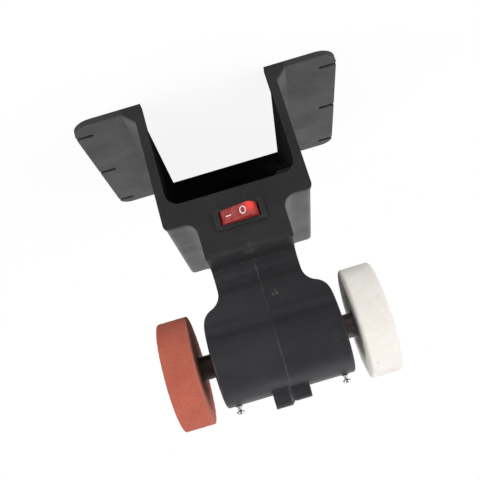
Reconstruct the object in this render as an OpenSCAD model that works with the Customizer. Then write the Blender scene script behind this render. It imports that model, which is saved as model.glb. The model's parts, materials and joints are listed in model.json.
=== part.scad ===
// Cordless mini bench grinder: a saddle-shaped plastic stand with a battery dock under it,
// a barrel on a neck that holds a double-ended motor, a grinding wheel and a felt wheel.
// Millimetres. X runs from the felt wheel to the grinding wheel, the switch faces -Y, Z is up.

/* [Feet] */
// Width over both foot plates
base_w = 179; // [160:1:200]
// Depth of the stand, from the front of the panel to the back of the feet
base_d = 142; // [134:1:160]
// Thickness of a foot plate
foot_t = 4.2; // [3:0.1:6]
// Corner radius of the foot plates at the front
foot_front_r = 14; // [4:0.5:20]
// Corner radius of the foot plates at the back
foot_back_r = 9; // [4:0.5:9.5]
// Width of the strap slots that open at the outer edges
slot_w = 3.6; // [2:0.2:4.4]
// Length of a strap slot, from the outer edge inwards
slot_l = 12.3; // [6:0.1:16]
// Distance from the front to the middle of the first slot
slot_front = 15; // [12:0.5:24]
// Distance from the middle of the last slot to the back
slot_back = 9.5; // [9:0.5:24]
// Number of strap slots on each side
slot_count = 3; // [2:1:4]
// Leg of the sloped strip between a side wall and its foot plate
gusset = 7.6; // [4:0.2:10]

/* [Saddle over the battery] */
// Width of the front panel across the shoulders
block_w = 94.4; // [90:0.2:98]
// Height of the shoulders above the top of the battery tunnel
shoulder_rise = 11.5; // [10:0.5:15]
// Radius of the outer shoulder corners
shoulder_r = 3.5; // [2:0.5:5]
// How far the panel stands out past the shells on each side
panel_lip = 0.75; // [0.4:0.05:1.2]
// Thickness of the front panel
panel_t = 3; // [2.4:0.2:4]
// Width of the opening in the front panel
opening_w = 83; // [78:0.5:85]
// Height of the opening in the front panel
opening_h = 74; // [70:0.5:76]
// Corner radius of the opening
opening_r = 9; // [4:0.5:12]
// Height of the battery tunnel behind the panel
tunnel_h = 77; // [76.4:0.2:80]
// Wall thickness of the moulded shells
wall = 2; // [1.8:0.1:2.6]

/* [Neck] */
// Width of the front panel at its neck
neck_w = 55; // [50:0.5:58]
// Depth of the neck, front to back
neck_d = 44; // [40:1:46]
// Height of the deck above the shoulders; the neck stands on it and the panel ends there
deck_rise = 25.1; // [22:0.1:30]
// Radius between the neck of the panel and its shoulders
neck_r = 8; // [4:0.5:10]
// Radius at the foot of the neck, on the deck
cove_r = 8; // [5:0.5:9]
// Radius that leads the front of the neck into the barrel
blend_r = 12; // [6:1:16]
// Distance below the spindle where the barrel ends start to curve in towards the neck
skirt_drop = 20.3; // [17:0.1:22]
// Radius of the lower corners of the barrel ends
skirt_r = 10.5; // [8:0.5:12]
// Radius that leads the sides of the neck out to those corners
flare_r = 10.5; // [8:0.5:12]

/* [Barrel and spindle] */
// Distance of the spindle behind the front of the panel
axis_y = 51.5; // [50:0.5:54]
// Height of the spindle above the deck
axis_rise = 53.2; // [52.6:0.2:58]
// How far the spindle sits towards the grinding wheel
spindle_x = 0.6; // [0:0.1:1]
// Height of the ribs between the motor and the barrel wall
rib_h = 3.7; // [2.6:0.1:4]
// Thickness of the barrel end walls
end_wall = 2.6; // [2:0.1:3.2]
// Edge radius of the barrel
barrel_r = 1.5; // [0.5:0.1:2]
// Distance between a barrel end and its wheel
wheel_gap = 9.4; // [7:0.1:12]
// Wheel diameter
wheel_d = 70; // [60:1:78]
// Wheel thickness
wheel_t = 19; // [16:0.5:22]
// Wheel bore
wheel_bore = 10.2; // [9.2:0.1:12.8]
// Diameter of the recess for the nut in the outer face of a wheel
recess_d = 30; // [26:1:36]
// Diameter of the arbor sleeves that show between barrel and wheels
sleeve_d = 15.4; // [14:0.2:17]

/* [Motor] */
// Motor can diameter
can_d = 45; // [42:0.5:47]
// Length of the motor body
can_l = 72; // [70:0.5:76]
// Motor shaft diameter
shaft_d = 5; // [4:0.1:6]
// Outer diameter of a shaft bearing
bearing_d = 16; // [14:0.5:17]
// Width of a shaft bearing
bearing_w = 5; // [4:0.1:5.4]
// Number of slots in the armature
armature_slots = 12; // [8:1:14]

/* [Switch] */
// Length of the switch bezel
bezel_w = 32; // [31.4:0.2:36]
// Height of the switch bezel
bezel_h = 13.8; // [13.4:0.2:16]
// Height of the switch centre above the roof of the battery tunnel
switch_rise = 12.4; // [11:0.1:13.6]
// Depth of the switch body behind the face of the panel
switch_d = 20; // [17:0.5:24]
// Radius of the rocker about its pin
rocker_r = 12; // [11.6:0.1:13.4]
// Height of the rocker across its face
rocker_h = 8.4; // [8:0.1:9.4]
// Tilt of the rocker to each side
rocker_tilt = 15; // [10:0.5:15]

/* [Battery dock] */
// Width over the dock rails
dock_w = 66; // [60:1:72]
// Distance of the dock behind the front of the panel
dock_y = 20; // [16:1:22]
// Length of the dock
dock_l = 84; // [80:1:88]
// Thickness of the dock plate
dock_t = 3; // [2.4:0.1:3.4]
// Depth of the rails below the plate
rail_h = 7.5; // [6:0.1:8]

/* [Hidden] */
$fn = 96;

// Clearances: between pieces that stay together, between pieces that turn, and an overcut
fit = 0.05;
gap = 0.4;
eps = 1;

// Colours as the photo shows them
plastic = [0.17, 0.17, 0.18];
panel_grey = [0.2, 0.2, 0.21];
black = [0.07, 0.07, 0.08];
steel = [0.72, 0.73, 0.75];
dark_steel = [0.24, 0.2, 0.18];
brass = [0.85, 0.68, 0.32];
copper = [0.78, 0.42, 0.24];

// Distance between strap slots
slot_pitch = (base_d - slot_front - slot_back) / (slot_count - 1);

// Saddle: it reaches back past the dock; half widths of the shells and of the tunnel
dock_clear = 2;
block_d = dock_y + dock_l + dock_clear;
shell_hw = block_w / 2 - panel_lip;
tunnel_hw = shell_hw - wall;
neck_hw = neck_w / 2 - 0.3;
roof_t = 2.4;
roof_z = tunnel_h + roof_t;

// Heights, each from what carries it: tunnel, shoulders, deck, spindle
shoulder_h = tunnel_h + shoulder_rise;
deck_h = shoulder_h + deck_rise;
axis_h = deck_h + axis_rise;
skirt_h = axis_h - skirt_drop;
switch_h = roof_z + switch_rise;

// The back wall leans from the back edge of the feet to the back edge of the shoulders
back_lean = (base_d - block_d) / (shoulder_h - foot_t);
back_wall = wall * sqrt(1 + back_lean * back_lean);
function back_y(z) = base_d - (z - foot_t) * back_lean;

// Barrel, built outwards from the motor that it holds
barrel_wall = 2.2;
can_r = can_d / 2;
cavity_r = can_r + rib_h;
barrel_or = cavity_r + barrel_wall;
boss_l = 2.6;
boss_gap = 0.6;
cavity_hl = can_l / 2 + boss_l + boss_gap;
barrel_hl = cavity_hl + end_wall;
skirt_hl = barrel_hl - 0.8;
end_hole_r = sleeve_d / 2 + 1;

// Wheels sit against the sleeves
wheel_x = barrel_hl + wheel_gap;
sleeve_x = can_l / 2 + boss_l + spindle_x + 1.2;
washer_t = 1.6;
washer_r = 11.5;
nut_t = 6;
nut_af = 16;
seat_end = wheel_x + wheel_t - 9.6;
stub_end = seat_end + washer_t + nut_t + 1.2;
stub_r = wheel_bore / 2 - 0.1;
shaft_r = shaft_d / 2;
shaft_end = wheel_x - 3;
bearing_r = bearing_d / 2;
bearing_x = can_l / 2 + boss_l - 0.6 - bearing_w;

// Switch: depth of the pin below the face of the bezel, and the rocker's face above the pin
bezel_t = 1.6;
pin_depth = 4.245;
face_h = 8.5;
pin_r = 1.45;
switch_body_w = 2 * (rocker_r + 1.2);
switch_body_h = rocker_h + 3.2;
rocker_well_h = rocker_h + 0.6;
face_hw = sqrt(rocker_r * rocker_r - face_h * face_h);
rocker_reach = bezel_t - pin_depth + face_h * cos(rocker_tilt) + face_hw * sin(rocker_tilt);

// Origin: centre of the footprint of the whole object, on the floor
front_y = (rocker_reach - base_d) / 2;

// Screws: shank radius, head radius and head height, and the holes they need
screw_r = 1.45;
head_r = 2.8;
head_t = 2.2;
counterbore_r = 3.2;
boss_r = 4.2;

// Dock: hangs under the tunnel roof, behind the panel
dock_z = tunnel_h - dock_t;
rail_z = dock_z - rail_h;
rail_t = 3;
block_t = 6.4;
block_l = 20;
block_y = dock_y + dock_l - block_l;
blade_z = dock_z - block_t / 2;
dock_bolts = [for (y = [dock_y + 14, dock_y + dock_l - 30]) for (x = [-18, 18]) [x, y]];

// Places of the cross screws that hold the two shells together: [y, z]
deck_screw_z = deck_h - wall - boss_r - 3.2;
cross_bolts = [[axis_y - 12, deck_screw_z], [axis_y + 22, deck_screw_z],
  [axis_y - 11, deck_h + 11], [axis_y + 11, deck_h + 11]];
seat_x = 8;
tail_z = 15;
tail_y = back_y(tail_z) - back_wall - boss_r + 0.6;
tail_hl = 12;

// Ears on top of the barrel, one on each shell, pulled together by a screw
ear_r = 4.4;
ear_l = 10.5;
ear_step = 1.8;
ear_z = axis_h + barrel_or + 2.8;
ear_groove = 0.9;
groove_depth = 0.4;

module at_front() {
  translate([0, front_y, 0]) children();
}

// Extrudes an outline drawn in x and z along y, from y0 to y1
module along_y(y0, y1) {
  translate([0, y1, 0]) rotate([90, 0, 0]) linear_extrude(y1 - y0) children();
}

// Extrudes an outline drawn in y and z along x, from x0 to x1
module along_x(x0, x1) {
  translate([x0, 0, 0]) rotate([90, 0, 90]) linear_extrude(x1 - x0) children();
}

// Round bar along x, centred on y and z
module rod_x(x0, x1, y, z, r) {
  translate([x0, y, z]) rotate([0, 90, 0]) cylinder(h = x1 - x0, r = r);
}

// Block given by its two corners
module slab(lo, hi) {
  translate(lo) cube(hi - lo);
}

module mirrored() {
  children();
  mirror([1, 0, 0]) children();
}

// Everything on the spindle is placed about its axis and moves with spindle_x
module on_axis(x = 0) {
  translate([x, axis_y, axis_h]) children();
}

// Part turned about the x axis from a half section drawn as [radius, x]
module turned(points) {
  rotate([0, 90, 0]) rotate_extrude() polygon([for (p = points) [p[0], p[1]]]);
}

// Front outline of the saddle: shoulders, neck and the hollow curves between them
module saddle_outline(hw, neck, top) {
  square_top = shoulder_h - shoulder_r;
  translate([-hw, 0]) square([2 * hw, square_top]);
  translate([-hw + shoulder_r, 0]) square([2 * (hw - shoulder_r), shoulder_h]);
  for (s = [-1, 1]) translate([s * (hw - shoulder_r), square_top]) circle(shoulder_r);
  translate([-neck, shoulder_h - eps]) square([2 * neck, top - shoulder_h + eps]);
  difference() {
    translate([-neck - neck_r, shoulder_h - eps]) square([2 * (neck + neck_r), neck_r + eps]);
    for (s = [-1, 1]) translate([s * (neck + neck_r), shoulder_h + neck_r]) circle(neck_r);
  }
}

// The sloped strip beside each side wall, on top of the foot plates
module gusset_outline(hw) {
  reach = block_w / 2 + gusset;
  for (s = [-1, 1])
    polygon([[s * (hw - eps), 0], [s * reach, 0], [s * reach, foot_t],
      [s * block_w / 2, foot_t + gusset], [s * (hw - eps), foot_t + gusset]]);
}

// Battery opening in the front panel
module opening_outline() {
  hw = opening_w / 2;
  translate([-hw, -eps]) square([opening_w, opening_h - opening_r + eps]);
  translate([-hw + opening_r, -eps]) square([opening_w - 2 * opening_r, opening_h + eps]);
  for (s = [-1, 1]) translate([s * (hw - opening_r), opening_h - opening_r]) circle(opening_r);
}

// Plan of one foot plate, from the tunnel wall to the outer edge, with its strap slots
module foot_plan() {
  x1 = base_w / 2;
  difference() {
    union() {
      translate([tunnel_hw, 0]) square([x1 - foot_front_r - tunnel_hw, base_d]);
      translate([tunnel_hw, foot_front_r])
        square([x1 - tunnel_hw, base_d - foot_front_r - foot_back_r]);
      translate([tunnel_hw, foot_front_r])
        square([x1 - foot_back_r - tunnel_hw, base_d - foot_front_r]);
      translate([x1 - foot_front_r, foot_front_r]) circle(foot_front_r);
      translate([x1 - foot_back_r, base_d - foot_back_r]) circle(foot_back_r);
    }
    translate([tunnel_hw - eps, -eps])
      square([block_w / 2 + gusset - tunnel_hw + eps, panel_t + eps]);
    for (i = [0 : slot_count - 1])
      translate([x1 - slot_l + slot_w / 2, slot_front + i * slot_pitch]) {
        circle(slot_w / 2);
        translate([0, -slot_w / 2]) square([slot_l, slot_w]);
      }
  }
}

// Both flanks of a neck of half width half, up to two circles of radius r at +-cx and height cz,
// each joined to its circle by a hollow of radius hollow that touches both
module flanks(half, hollow, cx, cz, r) {
  reach = half + hollow;
  drop = sqrt(pow(r + hollow, 2) - pow(reach - cx, 2));
  share = r / (r + hollow);
  difference() {
    union() {
      translate([-half, deck_h - eps]) square([2 * half, cz - drop - deck_h + eps]);
      for (s = [-1, 1])
        polygon([[0, cz - drop], [s * reach, cz - drop],
          [s * (cx + (reach - cx) * share), cz - drop * share], [s * cx, cz], [0, cz]]);
    }
    for (s = [-1, 1]) translate([s * reach, cz - drop]) circle(hollow);
  }
}

// Side outline of the neck, with coves on the deck and blends into the round of the barrel
module neck_side() {
  half = neck_d / 2;
  translate([axis_y, 0]) {
    flanks(half, blend_r, 0, axis_h, barrel_or);
    difference() {
      translate([-half - cove_r, deck_h - eps]) square([neck_d + 2 * cove_r, cove_r + eps]);
      for (s = [-1, 1]) translate([s * (half + cove_r), deck_h + cove_r]) circle(cove_r);
    }
  }
}

// Front outline of the neck as it widens into the two ends of the barrel
module neck_front() {
  corner = skirt_hl - skirt_r;
  flanks(neck_hw, flare_r, corner, skirt_h, skirt_r);
  for (s = [-1, 1]) translate([s * corner, skirt_h]) circle(skirt_r);
  translate([-skirt_hl, skirt_h]) square([2 * skirt_hl, axis_h - skirt_h]);
  translate([-corner, skirt_h - skirt_r]) square([2 * corner, skirt_r]);
}

// Outside of the saddle behind the panel, cut by the leaning back wall
module saddle_outside() {
  intersection() {
    along_y(panel_t, base_d) {
      saddle_outline(shell_hw, neck_hw, deck_h);
      gusset_outline(shell_hw);
    }
    along_x(-base_w / 2, base_w / 2)
      polygon([[panel_t, 0], [base_d, 0], [base_d, foot_t], [back_y(deck_h), deck_h],
        [panel_t, deck_h]]);
  }
}

module barrel_outside() {
  r = barrel_or;
  hl = barrel_hl;
  e = barrel_r;
  on_axis() rotate([0, 90, 0]) rotate_extrude() {
    translate([0, -hl]) square([r - e, 2 * hl]);
    translate([0, -hl + e]) square([r, 2 * (hl - e)]);
    for (s = [-1, 1]) translate([r - e, s * (hl - e)]) circle(e);
  }
}

// Battery tunnel, open at the front and below, closed by the leaning back wall
module tunnel() {
  intersection() {
    slab([-tunnel_hw, 0, -eps], [tunnel_hw, base_d, tunnel_h]);
    along_x(-base_w / 2, base_w / 2)
      polygon([[0, -eps], [base_d - back_wall, -eps], [base_d - back_wall, foot_t],
        [back_y(tunnel_h) - back_wall, tunnel_h], [0, tunnel_h]]);
  }
}

// Wiring space above the tunnel roof, open at the front where the panel closes it
module wiring_space() {
  intersection() {
    union() {
      slab([-tunnel_hw, 0, roof_z], [tunnel_hw, base_d, shoulder_h - wall]);
      slab([wall - neck_hw, 0, roof_z], [neck_hw - wall, base_d, deck_h - wall]);
    }
    along_x(-base_w / 2, base_w / 2)
      polygon([[0, 0], [back_y(0) - back_wall, 0], [back_y(deck_h) - back_wall, deck_h],
        [0, deck_h]]);
  }
  slab([wall - neck_hw, axis_y - neck_d / 2 + wall, deck_h - wall - eps],
    [neck_hw - wall, axis_y + neck_d / 2 - wall, axis_h]);
}

// Motor bay with a ring of rib at each end of the can, and the holes for the sleeves
module motor_bay() {
  rib_x = can_l / 2 - 4;
  rod_x(can_l / 2, cavity_hl, axis_y, axis_h, cavity_r);
  rod_x(-cavity_hl, -can_l / 2, axis_y, axis_h, cavity_r);
  rod_x(-rib_x, rib_x, axis_y, axis_h, cavity_r);
  rod_x(-cavity_hl, cavity_hl, axis_y, axis_h, can_r + fit);
  rod_x(-barrel_hl - eps, barrel_hl + eps, axis_y, axis_h, end_hole_r);
}

// Places of the two screws that clamp the motor, over the ribs
function clamp_x() = can_l / 2 - 1.5;

// Bosses that meet on the parting plane inside the neck and the wiring space
module cross_bosses() {
  for (p = cross_bolts) rod_x(-neck_hw + 1, neck_hw - 1, p[0], p[1], boss_r);
  rod_x(-tail_hl, tail_hl, tail_y, tail_z, boss_r);
  slab([-tail_hl, tail_y, tail_z - boss_r], [tail_hl, back_y(tail_z + boss_r) - 1, tail_z + boss_r]);
}

// Screw holes from the left shell into blind pilots in the right one
module cross_holes() {
  for (p = cross_bolts) {
    rod_x(-shell_hw, -seat_x, p[0], p[1], counterbore_r);
    rod_x(-seat_x - eps, seat_x + 2, p[0], p[1], screw_r + fit);
  }
  rod_x(-shell_hw, head_t - tail_hl, tail_y, tail_z, counterbore_r);
  rod_x(-tail_hl, tail_hl - 2, tail_y, tail_z, screw_r + fit);
}

// Both shells in one, before they are parted at x = 0
module shells() {
  difference() {
    union() {
      difference() {
        union() {
          saddle_outside();
          mirrored() linear_extrude(foot_t) foot_plan();
          intersection() {
            along_y(0, base_d) neck_front();
            along_x(-barrel_hl, barrel_hl) neck_side();
          }
          barrel_outside();
        }
        tunnel();
        wiring_space();
      }
      cross_bosses();
      roof_bosses();
      ears();
      mirrored() on_axis(clamp_x()) translate([0, 0, barrel_or - 1])
        cylinder(h = 1.8, r1 = 2.8, r2 = 1.9);
    }
    motor_bay();
    cross_holes();
    wire_hole();
    for (p = dock_bolts)
      translate([p[0], p[1], tunnel_h - eps]) cylinder(h = roof_t + 5, r = screw_r + fit);
    for (s = [-1, 1]) on_axis(s * clamp_x()) cylinder(h = barrel_or + 5, r = clamp_r + fit);
    ear_holes();
    panel_groove();
    wire_notches();
    mirrored() foot_pockets();
  }
}

// Screw bosses for the dock, standing on the tunnel roof
module roof_bosses() {
  for (p = dock_bolts) translate([p[0], p[1], roof_z - 0.5]) cylinder(h = 4.2, r = 3.4);
}

// Notches in the ribs for the two wires that lead to the motor terminals
module wire_notches() {
  for (s = [-1, 1])
    rod_x(can_l / 2 - 5, cavity_hl, axis_y + s * wire_in_y, axis_h - wire_in_z, wire_r + 0.4);
}

// Hollows in the underside of each foot plate, between the strap slots
module foot_pockets() {
  skin = 2.2;
  rib = 1.6;
  x0 = block_w / 2 + gusset + 1;
  x1 = base_w / 2 - skin;
  width = (x1 - x0 - rib) / 2;
  for (i = [0 : slot_count - 2]) for (x = [x0, x0 + width + rib])
    translate([x, slot_front + i * slot_pitch + slot_w / 2 + skin, -eps])
      cube([width, slot_pitch - slot_w - 2 * skin, foot_t - skin + eps]);
}

module wire_hole() {
  slab([-7, block_y + 4, tunnel_h - eps], [7, block_y + 14, roof_z + eps]);
}

// Ears: a round bar on a web; the right one is the larger and starts at the parting plane,
// the left one has a shallow groove round it there
module ears() {
  ear(-ear_l - ear_groove, -ear_groove, ear_r);
  ear(-ear_groove - 0.1, 0, ear_r - groove_depth);
  difference() {
    ear(0, ear_l + 1.7, ear_r + ear_step);
    ear_chamfer(ear_r + ear_step);
  }
}

// Where the taller right ear meets the left one, a chamfer runs down its front, over its
// round top and down its back
module ear_chamfer(r) {
  intersection() {
    translate([0, axis_y, ear_z])
      turned([[ear_r, -eps], [r + eps, -eps], [r + eps, ear_step + eps], [ear_r, 0]]);
    slab([-2 * eps, axis_y - r - 2, ear_z], [ear_step + 2 * eps, axis_y + r + 2, ear_z + r + 2]);
  }
  z0 = axis_h + barrel_or - 3;
  for (s = [-1, 1]) translate([0, axis_y, z0]) linear_extrude(ear_z - z0)
    polygon([[-eps, s * ear_r], [0, s * ear_r], [ear_step + eps, s * (r + eps)],
      [-eps, s * (r + eps)]]);
}

module ear(x0, x1, r) {
  rod_x(x0, x1, axis_y, ear_z, r);
  slab([x0, axis_y - r, axis_h + barrel_or - 2], [x1, axis_y + r, ear_z]);
}

module ear_holes() {
  rod_x(-ear_l - ear_groove - eps, -ear_l - ear_groove + head_t, axis_y, ear_z, head_r + 0.2);
  rod_x(-ear_l - ear_groove, ear_l, axis_y, ear_z, screw_r + fit);
}

clamp_r = 1.3;
rim_t = 1.4;
rim_l = 4;

// Wires, and where they pass the rib beside and below the motor can
wire_r = 1.1;
wire_in_y = 10;
wire_in_z = sqrt(pow((can_r + cavity_r) / 2, 2) - wire_in_y * wire_in_y);

// Groove inside the deck that the bead on the panel's rim snaps into
module panel_groove() {
  along_x(-8, 8) polygon([[panel_t + 1.5, deck_h - wall - 0.2], [panel_t + 2.5, deck_h - wall + 0.7],
    [panel_t + 3.5, deck_h - wall - 0.2]]);
}

module housing_left() {
  color(plastic) at_front() intersection() {
    shells();
    slab([-base_w, -eps, -eps], [0, base_d + eps, axis_h + barrel_or + 20]);
  }
}

module housing_right() {
  color(plastic) at_front() intersection() {
    shells();
    slab([0, -eps, -eps], [base_w, base_d + eps, axis_h + barrel_or + 20]);
  }
}

// Flat face of the stand: arms, shoulders and neck in one plate, with a rim that fits inside
// the shells and a small lip in the upper left corner of the opening
module front_panel() {
  rim_hw = neck_hw - wall - fit;
  arm_x = tunnel_hw - fit;
  edge = 2;
  color(panel_grey) at_front() {
    difference() {
      intersection() {
        along_y(0, panel_t) {
          saddle_outline(block_w / 2, neck_w / 2, deck_h);
          gusset_outline(block_w / 2);
        }
        along_x(-base_w / 2, base_w / 2)
          polygon([[0, 0], [panel_t, 0], [panel_t, deck_h], [0.6 * edge, deck_h],
            [0, deck_h - edge]]);
      }
      along_y(-eps, panel_t + eps) opening_outline();
      switch_cutout();
    }
    slab([-opening_w / 2 + 2, 0.8, opening_h - 2.9], [-opening_w / 2 + 12, panel_t, opening_h + 1]);
    along_y(0.8, panel_t) polygon([[-opening_w / 2 + 12 - eps, opening_h - 2.9],
      [-opening_w / 2 + 12, opening_h - 2.9], [-opening_w / 2 + 14.3, opening_h],
      [-opening_w / 2 + 14.3, opening_h + 1], [-opening_w / 2 + 12 - eps, opening_h + 1]]);
    difference() {
      slab([-rim_hw, panel_t - 0.5, roof_z + fit], [rim_hw, panel_t + rim_l, deck_h - wall - fit]);
      slab([-rim_hw + rim_t, 0, roof_z + rim_t],
        [rim_hw - rim_t, panel_t + rim_l + eps, deck_h - wall - rim_t]);
      switch_cutout();
    }
    along_x(-7.5, 7.5) polygon([[panel_t + 1.7, deck_h - wall - 0.6],
      [panel_t + 1.7, deck_h - wall - fit], [panel_t + 2.5, deck_h - wall + 0.5],
      [panel_t + 3.3, deck_h - wall - fit], [panel_t + 3.3, deck_h - wall - 0.6]]);
    mirrored() slab([opening_w / 2, panel_t - 0.5, 0],
      [arm_x, panel_t + rim_l, tunnel_h - fit]);
  }
}

module switch_cutout() {
  hw = switch_body_w / 2 + 0.15;
  hh = switch_body_h / 2 + 0.15;
  slab([-hw, -eps, switch_h - hh], [hw, panel_t + rim_l + 2, switch_h + hh]);
}

// Pan-head screw along x: the head's underside is at x = 0 and the shank runs towards +x
module screw_x(length) {
  rod_x(0, length, 0, 0, screw_r);
  turned([[0, -head_t], [head_r - 0.9, -head_t], [head_r, -head_t + 0.9], [head_r, 0], [0, 0]]);
}

module housing_screws() {
  color(steel) at_front() {
    for (p = cross_bolts) translate([-seat_x, p[0], p[1]]) screw_x(2 * seat_x);
    translate([head_t - tail_hl, tail_y, tail_z]) screw_x(2 * tail_hl - head_t - 3);
    translate([head_t - ear_l - ear_groove, axis_y, ear_z]) screw_x(2 * ear_l - 1.5);
  }
}

// The two small screws that stand up from the barrel and bear on the motor can
module motor_screws() {
  stand = 5.4;
  color(steel) at_front() for (s = [-1, 1]) on_axis(s * clamp_x()) {
    translate([0, 0, can_r]) cylinder(h = barrel_or - can_r + stand - 2, r = clamp_r);
    translate([0, 0, barrel_or + stand - 2.4]) cylinder(h = 0.6, r = 1.9);
    translate([0, 0, barrel_or + stand - 1.8]) cylinder(h = 1.8, r1 = 2.5, r2 = 1.9);
  }
}

// Switch: bezel on the face of the panel, a hollow body behind it and two snap wedges
module switch_body() {
  hw = switch_body_w / 2;
  hh = switch_body_h / 2;
  wedge = 0.8;
  color(black) at_front() translate([0, 0, switch_h]) difference() {
    union() {
      slab([-bezel_w / 2, -bezel_t, -bezel_h / 2], [bezel_w / 2, 0, bezel_h / 2]);
      slab([-hw, -0.5, -hh], [hw, switch_d, hh]);
      mirrored() linear_extrude(6, center = true)
        polygon([[hw - 0.5, panel_t + 0.1], [hw + wedge, panel_t + 0.1], [hw, panel_t + 5],
          [hw - 0.5, panel_t + 5]]);
    }
    slab([-rocker_r - 0.3, -bezel_t - eps, -rocker_well_h / 2],
      [rocker_r + 0.3, pin_depth - bezel_t + 9, rocker_well_h / 2]);
    translate([0, pin_depth - bezel_t, -bezel_h / 2 + 0.6])
      cylinder(h = bezel_h - 1.2, r = pin_r + fit);
  }
}

// Rocker: a sector about its pin with a flat face, drawn level and then tilted with the
// left end up, which is the pressed-in state of the right end
module switch_rocker() {
  color([0.8, 0.06, 0.04]) at_front()
    translate([0, pin_depth - bezel_t, switch_h]) rotate([0, 0, rocker_tilt]) {
      linear_extrude(rocker_h, center = true) {
        intersection() {
          circle(rocker_r);
          translate([-rocker_r, -face_h]) square([2 * rocker_r, face_h - 0.2]);
        }
        circle(3.6);
        translate([-1.5, 0]) square([3, 6.5]);
      }
      cylinder(h = switch_body_h - 1, r = pin_r, center = true);
    }
}

module switch_terminals() {
  color(brass) at_front() translate([0, 0, switch_h])
    for (x = [-9, 0, 9]) difference() {
      slab([x - 2.4, switch_d, -0.4], [x + 2.4, switch_d + 8, 0.4]);
      translate([x, switch_d + 5.6, -1]) cylinder(h = 2, r = 0.9);
    }
}

// Drawn steel can, closed on the felt-wheel side with a seat for the bearing
module motor_can() {
  x0 = -can_l / 2;
  x1 = can_l / 2 - 8;
  color(steel) at_front() on_axis() turned([[shaft_r + 1, x0 - boss_l],
    [bearing_r + 1.2, x0 - boss_l], [bearing_r + 1.2, x0], [can_r, x0], [can_r, x1],
    [can_r - 1.4, x1], [can_r - 1.4, x0 + 1.4], [bearing_r + 1.2, x0 + 1.4],
    [bearing_r + 1.2, -bearing_x], [bearing_r + fit, -bearing_x],
    [bearing_r + fit, x0 - boss_l + 0.6], [shaft_r + 1, x0 - boss_l + 0.6]]);
}

// Two curved magnets bonded inside the can
module motor_magnets() {
  x0 = 12 - can_l / 2;
  x1 = can_l / 2 - 18;
  color([0.3, 0.3, 0.32]) at_front() on_axis() for (s = [-1, 1]) intersection() {
    difference() {
      rod_x(x0, x1, 0, 0, can_r - 1.45);
      rod_x(x0 - eps, x1 + eps, 0, 0, can_r - 4.8);
    }
    along_x(x0 - eps, x1 + eps) polygon([[0, 0], [s * can_r, -1.9 * can_r], [s * 2 * can_r, 0],
      [s * can_r, 1.9 * can_r]]);
  }
}

// Moulded cap that closes the can and carries the second bearing and the brushes
module motor_end_bell() {
  x1 = can_l / 2;
  color([0.12, 0.12, 0.13]) at_front() on_axis() turned([[shaft_r + 1, x1 + boss_l],
    [bearing_r + 1.2, x1 + boss_l], [bearing_r + 1.2, x1], [can_r, x1], [can_r, x1 - 8],
    [can_r - 1.4, x1 - 8], [can_r - 1.4, x1 - 12], [can_r - 3.4, x1 - 12], [can_r - 3.4, x1 - 2],
    [bearing_r + 1.2, x1 - 2], [bearing_r + 1.2, bearing_x], [bearing_r + fit, bearing_x],
    [bearing_r + fit, x1 + boss_l - 0.6], [shaft_r + 1, x1 + boss_l - 0.6]]);
}

commutator_r = 6;
commutator_x = can_l / 2 - 13.5;
commutator_l = 8;
brush_x = commutator_x + 2.6;

// Brass boxes that guide the brushes, standing on the inside of the end bell
module brush_holders() {
  color(brass) at_front() on_axis() for (s = [-1, 1]) difference() {
    slab([brush_x - 3, -3.3, s * 13 - 3.4], [can_l / 2 - 2, 3.3, s * 13 + 3.4]);
    slab([brush_x - 2.3, -2.55, s * 13 - 5], [brush_x + 2.3, 2.55, s * 13 + 5]);
  }
}

// Carbon brushes, above and below the commutator
module carbon_brushes() {
  color([0.15, 0.15, 0.16]) at_front() on_axis() for (s = [-1, 1]) difference() {
    slab([brush_x - 2.25, -2.5, min(s * 3, s * 15)], [brush_x + 2.25, 2.5, max(s * 3, s * 15)]);
    rod_x(brush_x - 4, brush_x + 4, 0, 0, commutator_r + 0.3);
  }
}

// Solder tags on the outer face of the end bell
module motor_terminals() {
  color(brass) at_front() on_axis() for (s = [-1, 1])
    slab([can_l / 2, s * 13 - 2.4, -0.4], [can_l / 2 + 2.4, s * 13 + 2.4, 0.4]);
}

// Ball bearings, pressed into the can and the end bell; the shaft runs in their bores
module bearings() {
  color(steel) at_front() on_axis() for (s = [-1, 1])
    turned([[shaft_r + fit, s * bearing_x], [bearing_r, s * bearing_x],
      [bearing_r, s * (bearing_x + bearing_w)], [shaft_r + fit, s * (bearing_x + bearing_w)]]);
}

module motor_shaft() {
  color(steel) at_front() on_axis(spindle_x) turned([[0, -shaft_end], [shaft_r - 0.4, -shaft_end],
    [shaft_r, -shaft_end + 0.4], [shaft_r, shaft_end - 0.4], [shaft_r - 0.4, shaft_end],
    [0, shaft_end]]);
}

core_r = can_r - 5.4;
core_x = [16 - can_l / 2, can_l / 2 - 23];

// Laminated core with slots for the coils
module armature_core() {
  color([0.45, 0.46, 0.48]) at_front() on_axis(spindle_x) along_x(core_x[0], core_x[1])
    difference() {
      circle(core_r);
      circle(shaft_r + fit);
      for (i = [0 : armature_slots - 1]) rotate(i * 360 / armature_slots) {
        translate([core_r - 4.2, 0]) circle(1.7);
        translate([core_r - 4.2, -0.8]) square([6, 1.6]);
      }
    }
}

// Coils: a rounded bundle at each end of the core, joined by the wires in the slots
module armature_windings() {
  slot_in = core_r - 4.2;
  bundle = 6.5;
  color(copper) at_front() on_axis(spindle_x) {
    for (i = [0 : armature_slots - 1]) rotate([i * 360 / armature_slots, 0, 0])
      rod_x(core_x[0] - 2, core_x[1] + 2, slot_in, 0, 1.6);
    for (x = [core_x[0] - bundle, core_x[1]]) turned([[shaft_r + 2.5, x],
      [core_r - 3, x], [core_r - 1.2, x + 2], [core_r - 1.2, x + bundle], [shaft_r + 2.5, x + bundle]]);
  }
}

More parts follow.
